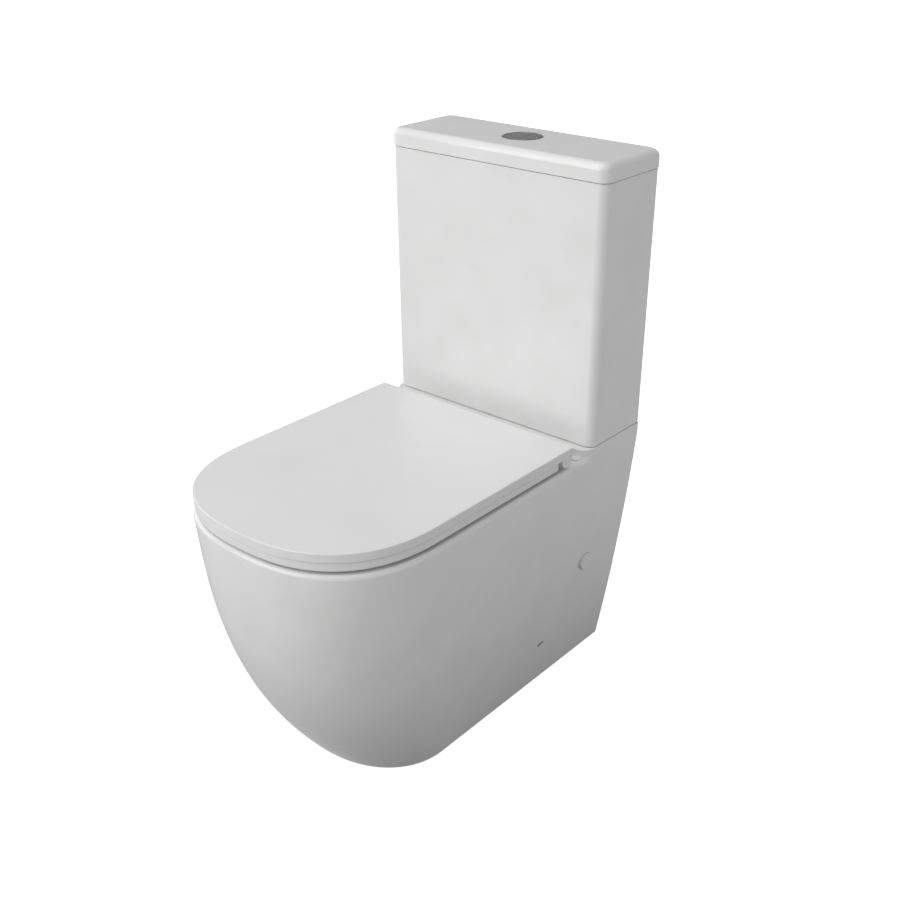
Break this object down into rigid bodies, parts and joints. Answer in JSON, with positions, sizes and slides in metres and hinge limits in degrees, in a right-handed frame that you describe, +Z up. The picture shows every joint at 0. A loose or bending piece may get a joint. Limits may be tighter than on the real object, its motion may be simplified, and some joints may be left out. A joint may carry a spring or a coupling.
{
  "type": "close coupled toilet",
  "caption": "Back-to-wall close coupled toilet: shrouded rimless pan, slab cistern with push buttons, soft-close D-shaped seat and working valves.",
  "frame": {"origin": "on the floor, under the middle of the outer box: 323.25 mm in front of the wall plane, on the plane of symmetry", "axes": "+Z up, +X to the right of someone facing the toilet, +Y towards the wall, so the seat faces -Y"},
  "size_m": [0.3926, 0.6464, 0.8404],
  "materials": {
    "ceramic": "gloss white glaze",
    "seat_plastic": "gloss white duroplast",
    "dark_chrome": "dark polished chrome plate",
    "steel": "satin stainless steel",
    "brass": "plain turned brass",
    "white_plastic": "moulded white plastic",
    "blue_plastic": "moulded blue plastic",
    "grey_plastic": "moulded grey plastic",
    "rubber": "matt black rubber",
    "buffer": "soft translucent white buffer"
  },
  "bodies": {
    "fixed_suite": {"pan": "ceramic", "cistern": "ceramic", "side_cap_left": "seat_plastic", "side_cap_right": "seat_plastic", "floor_bracket_left": "steel", "floor_bracket_right": "steel", "bracket_screw_left": "steel", "bracket_screw_right": "steel", "hinge_post_left": "steel", "hinge_post_right": "steel", "hinge_pin_left": "steel", "hinge_pin_right": "steel", "seat_fixing_bolt_left": "steel", "seat_fixing_bolt_right": "steel", "cistern_bolt_left": "brass", "cistern_bolt_right": "brass", "wing_nut_left": "brass", "wing_nut_right": "brass", "fill_valve_backnut": "brass", "flush_valve_base": "white_plastic", "flush_valve_backnut": "white_plastic", "fill_valve_body": "white_plastic", "flush_valve_tower": "blue_plastic", "fill_valve_head": "grey_plastic", "coupling_gasket": "rubber", "outlet_seal": "rubber", "flush_valve_washer": "rubber", "fill_valve_washer": "rubber", "bolt_cone_washer_left": "rubber", "bolt_cone_washer_right": "rubber", "seat_fixing_nut_left": "rubber", "seat_fixing_nut_right": "rubber"},
    "seat_ring_assembly": {"seat_ring": "seat_plastic", "ring_buffer_1": "buffer", "ring_buffer_2": "buffer", "ring_buffer_3": "buffer", "ring_buffer_4": "buffer"},
    "seat_lid_assembly": {"seat_lid": "seat_plastic", "lid_buffer_1": "buffer", "lid_buffer_2": "buffer", "hinge_damper_left": "grey_plastic", "hinge_damper_right": "grey_plastic"},
    "cistern_lid_assembly": {"cistern_lid": "ceramic", "button_housing": "dark_chrome", "button_lock_nut": "grey_plastic", "full_flush_spring": "steel", "half_flush_spring": "steel"},
    "full_button": {"full_flush_button": "dark_chrome", "full_flush_push_rod": "white_plastic"},
    "half_button": {"half_flush_button": "dark_chrome", "half_flush_push_rod": "white_plastic"},
    "full_plunger": {"full_flush_plunger": "grey_plastic"},
    "half_plunger": {"half_flush_plunger": "grey_plastic"},
    "flush_valve_lift": {"overflow_tube": "white_plastic", "flush_valve_seal": "rubber"},
    "float": {"float_cup": "white_plastic", "float_rod": "steel"},
    "float_arm": {"float_lever": "white_plastic"}
  },
  "joints": [
    {"name": "seat_ring_hinge", "type": "hinge", "parent": "fixed_suite", "child": "seat_ring_assembly", "pos_m": [0, 0.14225, 0.4195], "axis": [1, 0, 0], "range_deg": [-93, 0]},
    {"name": "seat_lid_hinge", "type": "hinge", "parent": "seat_ring_assembly", "child": "seat_lid_assembly", "pos_m": [0, 0.14225, 0.4195], "axis": [-1, 0, 0], "range_deg": [0, 93]},
    {"name": "cistern_lid_lift", "type": "slide", "parent": "fixed_suite", "child": "cistern_lid_assembly", "axis": [0, 0, 1], "range_m": [0, 0.12]},
    {"name": "full_button_press", "type": "slide", "parent": "cistern_lid_assembly", "child": "full_button", "axis": [0, 0, 1], "range_m": [-0.008, 0], "stiffness_N_per_m": 250, "springref_m": 0.006, "deforming": ["full_flush_spring"]},
    {"name": "half_button_press", "type": "slide", "parent": "cistern_lid_assembly", "child": "half_button", "axis": [0, 0, 1], "range_m": [-0.008, 0], "stiffness_N_per_m": 250, "springref_m": 0.006, "deforming": ["half_flush_spring"]},
    {"name": "full_plunger_slide", "type": "slide", "parent": "fixed_suite", "child": "full_plunger", "axis": [0, 0, 1], "range_m": [-0.008, 0]},
    {"name": "half_plunger_slide", "type": "slide", "parent": "fixed_suite", "child": "half_plunger", "axis": [0, 0, 1], "range_m": [-0.008, 0]},
    {"name": "flush_valve_rise", "type": "slide", "parent": "fixed_suite", "child": "flush_valve_lift", "axis": [0, 0, 1], "range_m": [0, 0.01]},
    {"name": "float_rise", "type": "slide", "parent": "fixed_suite", "child": "float", "axis": [0, 0, 1], "range_m": [0, 0.016]},
    {"name": "float_lever_tilt", "type": "hinge", "parent": "fixed_suite", "child": "float_arm", "pos_m": [-0.15, 0.25725, 0.7305], "axis": [0, -1, 0], "range_deg": [0, 21]}
  ],
  "couplings": [
    {"joint": "full_plunger_slide", "follows": "full_button_press", "ratio": 1},
    {"joint": "half_plunger_slide", "follows": "half_button_press", "ratio": 1},
    {"joint": "flush_valve_rise", "follows": "full_button_press", "ratio": -1.25},
    {"joint": "float_lever_tilt", "follows": "float_rise", "rad_per_m": 22.5}
  ]
}
